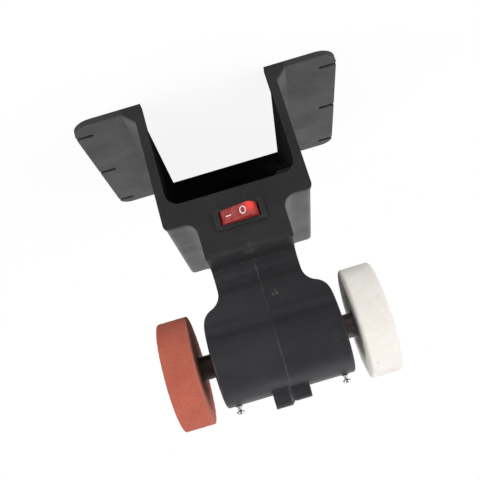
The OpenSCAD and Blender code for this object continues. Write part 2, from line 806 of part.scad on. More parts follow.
module commutator() {
  color(copper) at_front() on_axis(spindle_x) difference() {
    rod_x(commutator_x, commutator_x + commutator_l, 0, 0, commutator_r);
    rod_x(0, can_l, 0, 0, shaft_r + fit);
    for (i = [0 : armature_slots - 1]) rotate([(i + 0.5) * 360 / armature_slots, 0, 0])
      slab([commutator_x - eps, commutator_r - 1.1, -0.25],
        [commutator_x + commutator_l + eps, commutator_r + 1, 0.25]);
  }
}

// Arbor: a sleeve on the motor shaft, a thin flange against the wheel and a threaded stub
module arbor() {
  flange_r = sleeve_d / 2 + 0.9;
  difference() {
    turned([[0, sleeve_x], [sleeve_d / 2 - 0.4, sleeve_x], [sleeve_d / 2, sleeve_x + 0.4],
      [sleeve_d / 2, wheel_x - 1.3], [flange_r, wheel_x - 1.3], [flange_r, wheel_x],
      [stub_r, wheel_x], [stub_r, stub_end - 0.8], [stub_r - 0.8, stub_end], [0, stub_end]]);
    rod_x(sleeve_x - eps, shaft_end + 0.6, 0, 0, shaft_r + fit);
    translate([grub_x, 0, 0]) cylinder(h = sleeve_d, r = grub_r + fit);
  }
}

grub_x = barrel_hl + wheel_gap / 2;
grub_r = 1.5;

module arbor_right() {
  color(dark_steel) at_front() on_axis(spindle_x) arbor();
}

module arbor_left() {
  color(dark_steel) at_front() on_axis(spindle_x) mirror([1, 0, 0]) arbor();
}

// Grub screws that lock the arbors on the shaft
module grub_screws() {
  color(black) at_front() for (s = [-1, 1]) on_axis(spindle_x + s * grub_x)
    translate([0, 0, shaft_r]) difference() {
      cylinder(h = sleeve_d / 2 - shaft_r - 0.5, r = grub_r);
      translate([0, 0, sleeve_d / 2 - shaft_r - 2]) cylinder(h = 3, r = 0.8, $fn = 6);
    }
}

// Wheel with lightly broken edges, bored for the stub and recessed outside for the nut
module wheel(edge) {
  x0 = wheel_x;
  x1 = wheel_x + wheel_t;
  r = wheel_d / 2;
  turned([[wheel_bore / 2, x0], [r - edge, x0], [r, x0 + edge], [r, x1 - edge], [r - edge, x1],
    [recess_d / 2 + edge, x1], [recess_d / 2, x1 - edge], [recess_d / 2, seat_end],
    [wheel_bore / 2, seat_end]]);
}

module wheel_abrasive() {
  color([0.72, 0.31, 0.2]) at_front() on_axis(spindle_x) wheel(0.5);
}

module wheel_felt() {
  color([0.9, 0.89, 0.86]) at_front() on_axis(spindle_x) mirror([1, 0, 0]) wheel(1);
}

module wheel_washers() {
  x0 = seat_end;
  x1 = seat_end + washer_t;
  color(steel) at_front() on_axis(spindle_x) mirrored()
    turned([[stub_r + fit, x0], [washer_r, x0], [washer_r, x1 - 0.4], [washer_r - 0.4, x1],
      [stub_r + fit, x1]]);
}

// Hexagon nuts, with the corners turned off on the outer face
module wheel_nuts() {
  x0 = seat_end + washer_t;
  corner = nut_af / sqrt(3);
  color(steel) at_front() on_axis(spindle_x) mirrored() difference() {
    intersection() {
      translate([x0, 0, 0]) rotate([0, 90, 0]) cylinder(h = nut_t, r = corner, $fn = 6);
      turned([[0, x0], [corner, x0], [corner, x0 + nut_t - 1.2], [nut_af / 2 - 0.4, x0 + nut_t],
        [0, x0 + nut_t]]);
    }
    rod_x(x0 - eps, x0 + nut_t + eps, 0, 0, stub_r + fit);
  }
}

// Battery dock: a plate under the tunnel roof, two rails with inward lips and a catch pocket
module battery_dock() {
  lip = 3;
  hw = dock_w / 2;
  color(black) at_front() difference() {
    union() {
      slab([-hw, dock_y, dock_z], [hw, dock_y + dock_l, tunnel_h]);
      mirrored() {
        slab([hw - rail_t, dock_y, rail_z], [hw, dock_y + dock_l, dock_z + 0.5]);
        slab([hw - rail_t - lip, dock_y, rail_z], [hw, dock_y + dock_l - 6, rail_z + 2.4]);
      }
    }
    slab([-8, dock_y + 3, dock_z - eps], [8, dock_y + 8, tunnel_h + eps]);
    slab([-7, block_y + 4, dock_z - eps], [7, block_y + 14, tunnel_h + eps]);
    for (p = dock_bolts)
      translate([p[0], p[1], dock_z - eps]) cylinder(h = dock_t + 2 * eps, r = screw_r + 0.2);
  }
}

// Block that holds the contacts, under the back end of the dock plate
module terminal_block() {
  color([0.1, 0.1, 0.11]) at_front() difference() {
    slab([-20, block_y, dock_z - block_t], [20, block_y + block_l, dock_z]);
    slab([-6, block_y + 5, dock_z - 3], [6, block_y + 13, dock_z + eps]);
    for (x = [-13, 0, 13])
      slab([x - 0.45, block_y - eps, blade_z - 2.05], [x + 0.45, block_y + 15.05, blade_z + 2.05]);
  }
}

module contact_blades() {
  color(brass) at_front() for (x = [-13, 0, 13])
    slab([x - 0.4, block_y - 11, blade_z - 2], [x + 0.4, block_y + 15, blade_z + 2]);
}

module dock_screws() {
  color(steel) at_front() for (p = dock_bolts) translate([p[0], p[1], dock_z])
    rotate([0, -90, 0]) screw_x(dock_t + roof_t + 3);
}

// Wires: a round tube swept along a smooth curve through a few chosen points
wire_sides = 8;

function spline(p, n = 5) = [for (i = [0 : len(p) - 2]) for (k = [0 : n - 1])
  let (t = k / n, a = p[max(i - 1, 0)], b = p[i], c = p[i + 1], d = p[min(i + 2, len(p) - 1)])
    0.5 * (2 * b + (c - a) * t + (2 * a - 5 * b + 4 * c - d) * t * t
      + (3 * b - a - 3 * c + d) * t * t * t), p[len(p) - 1]];
function unit(v) = v / norm(v);
function heading(q, i) = unit(q[min(i + 1, len(q) - 1)] - q[max(i - 1, 0)]);
function ring(q, i) = let (h = heading(q, i), u = unit(cross(h, [1, 0.2, 0.1])), v = cross(h, u))
  [for (k = [0 : wire_sides - 1]) q[i] + wire_r * (cos(k * 360 / wire_sides) * u
    + sin(k * 360 / wire_sides) * v)];

module wire(points) {
  q = spline(points);
  n = len(q);
  m = wire_sides;
  sides = [for (i = [0 : n - 2]) for (k = [0 : m - 1])
    let (a = i * m + k, b = i * m + (k + 1) % m) each [[a, b, b + m], [a, b + m, a + m]]];
  polyhedron(points = [for (i = [0 : n - 1]) each ring(q, i)],
    faces = concat([[for (k = [m - 1 : -1 : 0]) k]], sides, [[for (k = [0 : m - 1]) (n - 1) * m + k]]));
}

terminal_y = switch_d + 8.1;
block_top = dock_z - 2.85;

// Last stretch of a motor wire: under the can, through the notch and up to its terminal
function to_motor(s) = let (y = axis_y + s * wire_in_y, z = axis_h - wire_in_z, x = can_l / 2 + 1.75)
  [[20, y, z - 4], [26, y, z], [x - 3, y, z], [x, y + s * 0.2, z + 3],
    [x, axis_y + s * 12, axis_h - 10], [x - 0.4, axis_y + s * 13, axis_h - 0.6]];

module supply_wire() {
  color([0.75, 0.08, 0.06]) at_front() wire([[-3, block_y + 9, block_top],
    [-3, block_y + 9, roof_z + 4], [-7, block_y - 6, switch_h + 0.2],
    [-9, axis_y - 1.5, switch_h + 0.2], [-9, terminal_y, switch_h]]);
}

module motor_wire() {
  color([0.8, 0.35, 0.1]) at_front() wire(concat([[9, terminal_y, switch_h],
    [10, terminal_y + 11.9, switch_h + 2.2], [14, axis_y - 1.5, deck_h - 9.6],
    [18, axis_y - 3.5, deck_h + 10.4], [19, axis_y - 8.5, deck_h + 20.4]], to_motor(-1)));
}

module return_wire() {
  color(black) at_front() wire(concat([[3, block_y + 9, block_top], [3, block_y + 9, roof_z + 4],
    [4, block_y - 10, switch_h + 4.2], [6, axis_y + 6.5, deck_h - 3.6],
    [14, axis_y + 5.5, deck_h + 10.4], [19, axis_y + 8.5, deck_h + 20.4]], to_motor(1)));
}

housing_left();
housing_right();
front_panel();
housing_screws();
motor_screws();
switch_body();
switch_rocker();
switch_terminals();
motor_can();
motor_magnets();
motor_end_bell();
brush_holders();
carbon_brushes();
motor_terminals();
bearings();
motor_shaft();
armature_core();
armature_windings();
commutator();
arbor_left();
arbor_right();
grub_screws();
wheel_felt();
wheel_abrasive();
wheel_washers();
wheel_nuts();
battery_dock();
terminal_block();
contact_blades();
dock_screws();
supply_wire();
motor_wire();
return_wire();
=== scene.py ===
import json
import math

import bpy
import numpy as np
from mathutils import Matrix, Vector


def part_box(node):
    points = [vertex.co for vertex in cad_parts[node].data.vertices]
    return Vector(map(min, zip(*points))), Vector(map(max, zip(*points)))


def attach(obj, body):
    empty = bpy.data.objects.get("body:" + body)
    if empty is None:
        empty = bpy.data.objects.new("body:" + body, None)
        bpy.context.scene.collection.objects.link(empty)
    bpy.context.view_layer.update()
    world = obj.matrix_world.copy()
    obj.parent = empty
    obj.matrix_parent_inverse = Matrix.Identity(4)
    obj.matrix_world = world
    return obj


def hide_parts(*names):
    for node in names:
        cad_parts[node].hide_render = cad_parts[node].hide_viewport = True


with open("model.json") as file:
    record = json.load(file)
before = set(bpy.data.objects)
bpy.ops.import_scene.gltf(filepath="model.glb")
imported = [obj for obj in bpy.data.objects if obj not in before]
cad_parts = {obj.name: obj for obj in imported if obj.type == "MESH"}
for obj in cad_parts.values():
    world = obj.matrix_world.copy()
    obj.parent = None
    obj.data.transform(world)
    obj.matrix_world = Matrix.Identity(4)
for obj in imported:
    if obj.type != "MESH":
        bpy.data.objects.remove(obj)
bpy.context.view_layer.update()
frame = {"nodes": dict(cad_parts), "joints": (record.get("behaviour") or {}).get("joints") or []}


# ---- Camera ----
# The picture looks at the standing grinder from in front and a little above, and is turned
# nearly upside down, by 165 degrees about the line of sight.
pitch, lean, turn = (math.radians(angle) for angle in (18.68, -1.556, 165.03))
camera_place = Vector((0.0008, -0.49547, 0.24196))
lens, sensor_width = 56.27, 36  # in mm
shift_x, shift_y = -0.002, -0.036

sight = Vector((0, math.cos(pitch), -math.sin(pitch)))
level = Vector((1, 0, 0))
rise = Vector((0, math.sin(pitch), math.cos(pitch)))
across = math.cos(lean) * level + math.sin(lean) * rise
upward = math.cos(lean) * rise - math.sin(lean) * level
camera_x = math.cos(turn) * across + math.sin(turn) * upward
camera_y = math.cos(turn) * upward - math.sin(turn) * across
camera = bpy.data.objects.new("camera", bpy.data.cameras.new("camera"))
bpy.context.scene.collection.objects.link(camera)
aimed = Matrix((camera_x, camera_y, -sight)).transposed().to_4x4()
camera.matrix_world = Matrix.Translation(camera_place) @ aimed
camera.data.lens = lens
camera.data.sensor_width = sensor_width
camera.data.shift_x = shift_x
camera.data.shift_y = shift_y
bpy.context.scene.camera = camera
bpy.context.scene.view_settings.view_transform = "Standard"


# ---- Studio: paper floor, white room and soft lamps ----
# The grinder stands on white paper that keeps a faint shadow. The room is white to the eye and
# through clear plastic. In gloss, paper and room are bright only behind the object, so that its
# black faces stay dark and its edges and rounded tops catch the light.
def put(tree, kind, *inputs, **settings):
    """Adds a node. Inputs follow the order of its sockets: a value, another node's output, or
    None to leave one as it is. Settings are the node's own options."""
    node = tree.nodes.new("ShaderNode" + kind)
    for name, value in settings.items():
        setattr(node, name, value)
    for socket, value in zip(node.inputs, inputs):
        if isinstance(value, bpy.types.NodeSocket):
            tree.links.new(value, socket)
        elif value is not None:
            socket.default_value = value
    return node


def maths(tree, operation, *inputs):
    """Adds a Math node and returns its result."""
    return put(tree, "Math", *inputs, operation=operation).outputs[0]


def times(tree, product, *factors):
    """The product of several values."""
    for factor in factors:
        product = maths(tree, "MULTIPLY", product, factor)
    return product


def step(tree, value, start, end):
    """0 up to start and 1 from end on, smooth between; end may be the lower of the two."""
    return put(tree, "MapRange", value, start, end, 0.0, 1.0,
               interpolation_type="SMOOTHSTEP").outputs[0]


def between(tree, share, low, high):
    """Low where the share is 0 and high where it is 1."""
    return maths(tree, "MULTIPLY_ADD", share, high - low, low)


def axes(tree, vector):
    """The x, y and z of a vector."""
    return tuple(put(tree, "SeparateXYZ", vector).outputs)


def on_piece(tree):
    """The point on the piece, in metres."""
    return put(tree, "TexCoord").outputs["Object"]


def seen(tree):
    """1 for rays from the camera and through clear plastic, and 1 for reflected ones."""
    path = put(tree, "LightPath").outputs
    return maths(tree, "MAXIMUM", path["Is Camera Ray"],
                 path["Is Transmission Ray"]), path["Is Glossy Ray"]


floor_half, floor_z = 2, -0.0001
corners = [(x * floor_half, y * floor_half, floor_z)
           for x, y in ((-1, -1), (1, -1), (1, 1), (-1, 1))]
floor_mesh = bpy.data.meshes.new("floor")
floor_mesh.from_pydata(corners, [], [range(4)])
floor = bpy.data.objects.new("floor", floor_mesh)
bpy.context.scene.collection.objects.link(floor)

# Seen straight, the paper glows white and a tenth of it near the object is lit matt paper, which
# takes the shadow. In gloss it is dim in front of the object and painted dark under it as a
# shadow.
paper = bpy.data.materials.new("studio_paper")
paper.use_nodes = True
tree = paper.node_tree
tree.nodes.clear()
straight, mirrored = seen(tree)
away = put(tree, "VectorMath", on_piece(tree), operation="LENGTH").outputs["Value"]
glowing = between(tree, step(tree, away, 0.1, 0.45), 0.9, 1.0)
behind = step(tree, axes(tree, on_piece(tree))[1], -0.1, 0.35)
# Painted shadow: in gloss the paper is darkened under the object
clear_of_painted_shadow = step(tree, away, 0.08, 0.19)
in_gloss = times(tree, mirrored, between(tree, behind, 0.28, 1.0),
                 between(tree, clear_of_painted_shadow, 0.1, 1.0))
matt = put(tree, "BsdfDiffuse", (0.8, 0.8, 0.8, 1))
glow = put(tree, "Emission", (1, 1, 1, 1), maths(tree, "MAXIMUM", straight, in_gloss))
share = maths(tree, "MAXIMUM", times(tree, straight, glowing), mirrored)
both = put(tree, "MixShader", share, matt.outputs[0], glow.outputs[0])
put(tree, "OutputMaterial", both.outputs[0])
floor_mesh.materials.append(paper)

room = bpy.data.worlds.new("room")
bpy.context.scene.world = room
room.use_nodes = True
tree = room.node_tree
tree.nodes.clear()
straight, mirrored = seen(tree)
_, toward_y, toward_z = axes(tree, put(tree, "TexCoord").outputs["Generated"])
behind = times(tree, step(tree, toward_y, -0.3, 0.5), step(tree, toward_z, 0.95, 0.4))
in_gloss = times(tree, mirrored, between(tree, behind, 0.2, 1.0))
plain = between(tree, mirrored, 0.62, 0.0)
strength = maths(tree, "MAXIMUM", maths(tree, "MAXIMUM", straight, in_gloss), plain)
air = put(tree, "Background", (1, 1, 1, 1), strength)
put(tree, "OutputWorld", air.outputs[0])

aim = Vector((0, 0, 0.1))
for name, place, width, watts in (
        ("lamp_left", (-1.1, -0.55, 0.5), 0.7, 8),
        ("lamp_top", (-0.3, 0.35, 1.2), 0.8, 1.9),
        ("lamp_over_left", (-0.85, 0.1, 0.95), 0.5, 3.5),
        ("lamp_over_right", (0.85, 0.0, 0.95), 0.5, 5),
        ("lamp_right", (0.75, -0.95, 0.4), 0.6, 5.5)):
    lamp = bpy.data.lights.new(name, "AREA")
    lamp.energy = watts
    lamp.size = width
    holder = bpy.data.objects.new(name, lamp)
    holder.location = place
    holder.rotation_euler = (aim - Vector(place)).to_track_quat("-Z", "Y").to_euler()
    bpy.context.scene.collection.objects.link(holder)


# ---- Housing shells ----
# Two mirror-like shells moulded in black plastic, each with a foot plate, half of the saddle,
# the neck and the barrel. Fine spark-eroded grain, edges polished by handling, dust that
# stays on the deck, a torn gate beside the parting line. Painted shade and painted highlights
# lie on some places of the shells.
def effect(name, inputs, outputs):
    """Starts a node group with named number inputs and named outputs."""
    tree = bpy.data.node_groups.new(name, "ShaderNodeTree")
    for label, value in inputs.items():
        socket = tree.interface.new_socket(label, in_out="INPUT", socket_type="NodeSocketFloat")
        socket.default_value = value
    for label, kind in outputs.items():
        tree.interface.new_socket(label, in_out="OUTPUT", socket_type="NodeSocket" + kind)
    return tree, tree.nodes.new("NodeGroupInput").outputs, tree.nodes.new("NodeGroupOutput")


def use(tree, group, **values):
    """Places a node group and gives its outputs."""
    node = tree.nodes.new("ShaderNodeGroup")
    node.node_tree = group
    for label, value in values.items():
        node.inputs[label].default_value = value
    return node.outputs


# Rub: 1 on convex and concave edges, broken up by noise. Normal: edges rounded to the radius
rubbed_edges, given, out = effect("rubbed_edges", {"Radius": 0.0006, "Wear": 0.5},
                                  {"Rub": "Float", "Normal": "Vector"})
tree = rubbed_edges
rounded = put(tree, "Bevel", given["Radius"], samples=6).outputs[0]
flat = put(tree, "NewGeometry").outputs["Normal"]
alike = put(tree, "VectorMath", rounded, flat, operation="DOT_PRODUCT").outputs["Value"]
edge = step(tree, maths(tree, "SUBTRACT", 1.0, alike), 0.01, 0.2)
patch = put(tree, "TexNoise", on_piece(tree), None, 260.0, 4.0, 0.65).outputs[0]
more_wear = maths(tree, "SUBTRACT", given["Wear"], 0.5)
worn = step(tree, maths(tree, "ADD", patch, more_wear), 0.4, 0.62)
tree.links.new(times(tree, edge, worn), out.inputs["Rub"])
tree.links.new(rounded, out.inputs["Normal"])

# Height: fine pits of the mould's skin. Tone: slow drift of the colour over the piece
moulded_skin, given, out = effect("moulded_skin", {"Grain": 1800.0, "Drift": 40.0},
                                  {"Height": "Float", "Tone": "Float"})
tree = moulded_skin
fine = put(tree, "TexNoise", on_piece(tree), None, given["Grain"], 2.0, 0.7).outputs[0]
pits = put(tree, "TexVoronoi", on_piece(tree), None,
           times(tree, given["Grain"], 0.7)).outputs["Distance"]
slow = put(tree, "TexNoise", on_piece(tree), None, given["Drift"], 5.0, 0.6).outputs[0]
speckle = times(tree, maths(tree, "SUBTRACT", fine, 0.5), 0.8)
tree.links.new(maths(tree, "ADD", fine, times(tree, pits, 0.5)), out.inputs["Height"])
tree.links.new(step(tree, maths(tree, "ADD", slow, speckle), 0.3, 0.7), out.inputs["Tone"])

# Mask: small irregular specks, in this share of the cells of a grid of this many per metre
specks, given, out = effect("specks", {"Scale": 900.0, "Share": 0.2, "Spread": 0.3},
                            {"Mask": "Float"})
tree = specks
speck_bend = 0.0006
noise = put(tree, "TexNoise", on_piece(tree), None, given["Scale"], 2.0, 0.5).outputs[1]
shift = put(tree, "VectorMath", noise, (speck_bend,) * 3, operation="MULTIPLY").outputs[0]
bent = put(tree, "VectorMath", on_piece(tree), shift, operation="ADD").outputs[0]
cells = put(tree, "TexVoronoi", bent, None, given["Scale"]).outputs
chance, size, _ = put(tree, "SeparateColor", cells["Color"]).outputs
chosen = maths(tree, "LESS_THAN", chance, given["Share"])
spot = maths(tree, "LESS_THAN", cells["Distance"], times(tree, given["Spread"], size))
tree.links.new(times(tree, chosen, spot), out.inputs["Mask"])

# Mask: thin scratches that run mostly along x and y
scratches, given, out = effect("scratches", {"Scale": 60.0, "Share": 0.3}, {"Mask": "Float"})
tree = scratches
scratched = 0.0
for stretch, spin in (((1, 26, 26), 0.35), ((1, 30, 30), -0.9), ((1, 22, 22), 1.9)):
    way = put(tree, "Mapping", on_piece(tree), None, (0.2, 0.1, spin), stretch).outputs[0]
    streak = put(tree, "TexNoise", way, None, given["Scale"], 1.0, 0.4).outputs[0]
    off_line = maths(tree, "ABSOLUTE", maths(tree, "SUBTRACT", streak, 0.5))
    scratched = maths(tree, "MAXIMUM", scratched, step(tree, off_line, 0.012, 0.0))
where = put(tree, "TexNoise", on_piece(tree), None, 45.0, 3.0, 0.6).outputs[0]
in_patch = step(tree, maths(tree, "ADD", where, given["Share"]), 0.72, 0.95)
tree.links.new(times(tree, scratched, in_patch), out.inputs["Mask"])


def shader_inputs(material):
    """The sockets of a material's shader."""
    return material.node_tree.nodes["Principled BSDF"].inputs


def paint(name, colour, **plain):
    """Starts a material with one colour. Plain are other constants of its shader, with a space
    in a socket's name written as an underscore."""
    material = bpy.data.materials.new(name)
    material.use_nodes = True
    sockets = shader_inputs(material)
    sockets["Base Color"].default_value = (*colour, 1)
    for label, value in plain.items():
        sockets[label.replace("_", " ")].default_value = value
    return material


def lay(material, label, mask, top):
    """Lays a colour or a value over what a socket of the shader has, where the mask is 1."""
    tree, socket = material.node_tree, shader_inputs(material)[label]
    if socket.type == "RGBA":
        kind, below, above, result = "RGBA", 6, 7, 2
    else:
        kind, below, above, result = "FLOAT", 2, 3, 0
    mix = put(tree, "Mix", mask, data_type=kind)
    if socket.is_linked:
        tree.links.new(socket.links[0].from_socket, mix.inputs[below])
    else:
        mix.inputs[below].default_value = socket.default_value
    mix.inputs[above].default_value = top
    tree.links.new(mix.outputs[result], socket)


def tint(material, mask, colour, share=1.0):
    """Lays this share of a colour over the base colour, where the mask is 1."""
    if share < 1.0:
        mask = times(material.node_tree, mask, share)
    lay(material, "Base Color", mask, (*colour, 1))


def lift(material, height, strength, depth, normal=None):
    """Raises the surface by a height, on top of a normal."""
    tree = material.node_tree
    bump = tree.nodes.new("ShaderNodeBump")
    bump.inputs["Strength"].default_value = strength
    bump.inputs["Distance"].default_value = depth
    tree.links.new(height, bump.inputs["Height"])
    if normal is not None:
        tree.links.new(normal, bump.inputs["Normal"])
    tree.links.new(bump.outputs[0], shader_inputs(material)["Normal"])


def plastic(name, dark, light, worn, rough, grain=1800.0, radius=0.0006, wear=0.5,
            depth=0.00006, **plain):
    """Moulded plastic: two tones that drift, rubbed edges in a third, grain and soft gloss."""
    material = paint(name, dark, Roughness=rough + 0.06, **plain)
    skin = use(material.node_tree, moulded_skin, Grain=grain)
    edges = use(material.node_tree, rubbed_edges, Radius=radius, Wear=wear)
    tint(material, skin["Tone"], light)
    tint(material, edges["Rub"], worn)
    lay(material, "Roughness", skin["Tone"], rough - 0.06)
    lay(material, "Roughness", edges["Rub"], rough - 0.14)
    lift(material, skin["Height"], 0.5, depth, edges["Normal"])
    return material


def near(tree, place, reach):
    """1 within this reach of a point, fading to 0 at twice as far."""
    away = put(tree, "VectorMath", on_piece(tree), place, operation="DISTANCE")
    return step(tree, away.outputs["Value"], 2 * reach, reach)


def scrape(tree):
    """Fine lines that run front to back and up and down."""
    way = put(tree, "Mapping", on_piece(tree), None, None, (1, 0.04, 0.04)).outputs[0]
    return step(tree, put(tree, "TexNoise", way, None, 1500.0, 1.0).outputs[0], 0.48, 0.6)


def dress(node, material):
    """Gives a CAD node a material."""
    for slot in frame["nodes"][node].material_slots:
        slot.material = material


deck_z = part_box("front_panel")[1][2]
tunnel_half, tunnel_roof = 0.0452, 0.0772
back_slope, back_inside = 0.427, 0.0757  # the back wall inside, y + slope * z
edge_blur = 0.0004
painted_shade_bend, painted_light_blend = (0.0098, 0.0180), (0.0330, 0.0418)  # heights over the deck
scraped_spot = (-0.0015, -0.0600, deck_z)
gate_scars = (((-0.0070, -0.0376, 0.1376), 0.0012), ((-0.0004, -0.0376, 0.1336), 0.0006))
# Painted shade: the left shell is painted darker than the right, against the broad highlight on
# the right half of the barrel
for side, tone in (("left", 0.84), ("right", 0.98)):
    dark, light = (0.0138, 0.0136, 0.0172), (0.0205, 0.0203, 0.0245)
    shell = plastic(
        "shell_" + side, [tone * value for value in dark], [tone * value for value in light],
        (0.10, 0.10, 0.104), 0.42, wear=0.58)
    tree = shell.node_tree
    x, y, z = axes(tree, on_piece(tree))
    face_x, face_y, face_z = axes(tree, put(tree, "TexCoord").outputs["Normal"])
    wide = maths(tree, "ABSOLUTE", x)

    # Painted highlights: the fronts of the feet, the gussets and the shoulders beside the panel
    # are painted paler
    painted_light_foot_front = times(tree, step(tree, face_y, -0.2, -0.5), step(tree, z, 0.040, 0.015))
    tint(shell, painted_light_foot_front, (0.048, 0.048, 0.051), 0.75)
    painted_light_gusset = times(tree, step(tree, maths(tree, "ABSOLUTE", face_x), 0.4, 0.6),
                   step(tree, y, -0.040, -0.052), step(tree, z, 0.034, 0.028))
    tint(shell, painted_light_gusset, (0.060, 0.060, 0.063), 0.6)
    painted_light_shoulder = times(tree, step(tree, face_z, 0.1, 0.5), step(tree, z, 0.060, 0.075),
                     step(tree, z, deck_z - 0.0006, deck_z - 0.0014))
    tint(shell, painted_light_shoulder, (0.050, 0.050, 0.052), 0.5)

    # Painted shade on the neck's bend over the deck, and a painted highlight on the blend into
    # the barrel
    for (low, high), colour, share in ((painted_shade_bend, (0.005, 0.005, 0.006), 0.5),
                                       (painted_light_blend, (0.038, 0.038, 0.043), 0.55)):
        band = times(tree, step(tree, z, deck_z + low, deck_z + low + 0.004),
                     step(tree, z, deck_z + high, deck_z + high - 0.0035))
        tint(shell, band, colour, share)

    # A painted highlight lifts the deck, with real crumbs of dust on it; painted shade darkens
    # the inside of the saddle; then dust and scratches over all
    deck = times(tree, step(tree, z, deck_z - 0.0002, deck_z),
                 step(tree, z, deck_z + 0.004, deck_z + 0.0005))
    tint(shell, deck, (0.036, 0.0355, 0.036), 0.4)
    crumbs = use(tree, specks, Scale=560.0, Share=0.35, Spread=0.42)["Mask"]
    tint(shell, times(tree, deck, crumbs), (0.075, 0.072, 0.064))
    # Painted shade: inside the saddle the plastic is painted near black and matt
    back = maths(tree, "MULTIPLY_ADD", z, back_slope, y)
    inside = times(tree, step(tree, wide, tunnel_half + edge_blur, tunnel_half),
                   step(tree, back, back_inside + edge_blur, back_inside),
                   step(tree, z, tunnel_roof + edge_blur, tunnel_roof))
    tint(shell, inside, (0.0042, 0.0042, 0.0044))
    lay(shell, "Roughness", inside, 1.0)
    dust = use(tree, specks, Scale=420.0, Share=0.12, Spread=0.22)["Mask"]
    tint(shell, times(tree, step(tree, face_z, 0.5, 1.0), dust), (0.11, 0.11, 0.11))
    tint(shell, use(tree, scratches, Scale=55.0)["Mask"], (0.06, 0.06, 0.062), 0.4)

    # Scraped where the deck meets the panel, and two scars of the mould's gate on the neck
    scraped = times(tree, near(tree, scraped_spot, 0.0035), scrape(tree))
    tint(shell, scraped, (0.07, 0.07, 0.068))
    for place, reach in gate_scars:
        crumbs = use(tree, specks, Scale=1500.0, Share=0.6, Spread=0.6)["Mask"]
        torn = times(tree, near(tree, place, reach), crumbs)
        tint(shell, torn, (0.16, 0.155, 0.13))
        lay(shell, "Roughness", torn, 0.3)
    dress("housing_" + side, shell)


# ---- Parting line ----
# Where the two shells meet, a thin flash of plastic stands proud of the neck and barrel in
# front and behind; it is part of the left shell. Low on the neck it carries a painted highlight.
def add_mesh(name, points, faces, material, body):
    """Makes a smooth piece from an array of points and a list of faces."""
    mesh = bpy.data.meshes.new(name)
    mesh.from_pydata(points.reshape(-1, 3).tolist(), [], faces)
    mesh.polygons.foreach_set("use_smooth", np.full(len(mesh.polygons), True))
    mesh.materials.append(material)
    mesh.update()
    piece = bpy.data.objects.new(name, mesh)
    bpy.context.scene.collection.objects.link(piece)
    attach(piece, body)
    return piece


def grid_faces(rows, columns, close_rows=False, close_columns=False):
    """Quads of a grid of points, row by row; a closed way runs back to its start."""
    r = np.arange(rows if close_rows else rows - 1)[:, None]
    c = np.arange(columns if close_columns else columns - 1)[None, :]
    r1, c1 = (r + 1) % rows, (c + 1) % columns
    quads = np.stack([r * columns + c, r * columns + c1, r1 * columns + c1, r1 * columns + c], -1)
    return quads.reshape(-1, 4).tolist()


def tube_faces(rows, columns):
    """Quads of a tube whose rows are closed rings, with a face across each end."""
    first, last = range(columns), range((rows - 1) * columns, rows * columns)
    return grid_faces(rows, columns, close_columns=True) + [list(first)[::-1], list(last)]


def turned_over(faces):
    """The same faces, seen from their other side."""
    return [face[::-1] for face in faces]


def circle(count):
    """Angles of evenly spaced points round a circle."""
    return np.linspace(0, 2 * np.pi, count, endpoint=False)


def arc(centre, radius, start, stop, count, outward=1):
    """Points on a circle in the y-z plane between two angles in degrees from +y, with the
    directions out of its centre, or into it where outward is -1."""
    a = np.radians(np.linspace(start, stop, count))[:, None]
    way = np.hstack([np.cos(a), np.sin(a)])
    return np.array(centre) + radius * way, outward * way


axles = {joint["name"]: joint["pos_m"] for joint in frame["joints"]}
spindle_y, spindle_z = axles["spindle_spin"][1:]


def flash(name, sign):
    """Ridge along the parting line: a flat half ellipse carried along the outline of the cove,
    the neck, the blend and the barrel, its height fading out at both ends. Sign is -1 in front
    and 1 behind."""
    neck_half, cove_r, blend_r, barrel_r = 0.022, 0.008, 0.012, 0.0284
    height, half_width, middle_x, sides = 0.00022, 0.00032, -0.0003, 12
    hollow_y = neck_half + blend_r
    drop = math.sqrt((barrel_r + blend_r) ** 2 - hollow_y ** 2)
    meet = math.degrees(math.atan2(drop, hollow_y))
    arcs = [arc((neck_half + cove_r, deck_z + cove_r), cove_r, 268, 180, 24, outward=-1),
            arc((hollow_y, spindle_z - drop), blend_r, 180, 180 - meet, 24, outward=-1),
            arc((0, spindle_z), barrel_r, -meet, 80, 90)]
    path = np.vstack([points for points, _ in arcs])
    out = np.vstack([way for _, way in arcs])
    count = np.arange(len(path))
    fade = np.sin(np.pi * count / count[-1]) ** 0.3
    wave = 1 + 0.25 * np.sin(count * 0.9) * np.sin(count * 0.37)
    round_it = circle(sides)
    x = middle_x + half_width * np.cos(round_it)
    proud = (height * fade * wave)[:, None] * np.maximum(np.sin(round_it), -0.6)
    y = sign * (path[:, :1] + out[:, :1] * proud) + spindle_y
    z = path[:, 1:] + out[:, 1:] * proud
    points = np.stack([np.broadcast_to(x, y.shape), y, z], -1)
    faces = tube_faces(len(path), sides)
    if sign > 0:
        faces = turned_over(faces)
    add_mesh(name, points, faces, flash_plastic, "stand")


flash_plastic = plastic(
    "parting_flash", (0.017, 0.017, 0.018), (0.034, 0.034, 0.035), (0.05, 0.05, 0.05), 0.45,
    radius=0.0002)
tree = flash_plastic.node_tree
z = axes(tree, on_piece(tree))[2]
# Painted highlight on the flash low on the neck
painted_highlight_low = times(tree, step(tree, z, deck_z + 0.0024, deck_z + 0.0049),
             step(tree, z, deck_z + 0.0154, deck_z + 0.0094))
tint(flash_plastic, painted_highlight_low, (0.055, 0.055, 0.054))
flash("parting_flash_front", -1)
flash("parting_flash_back", 1)
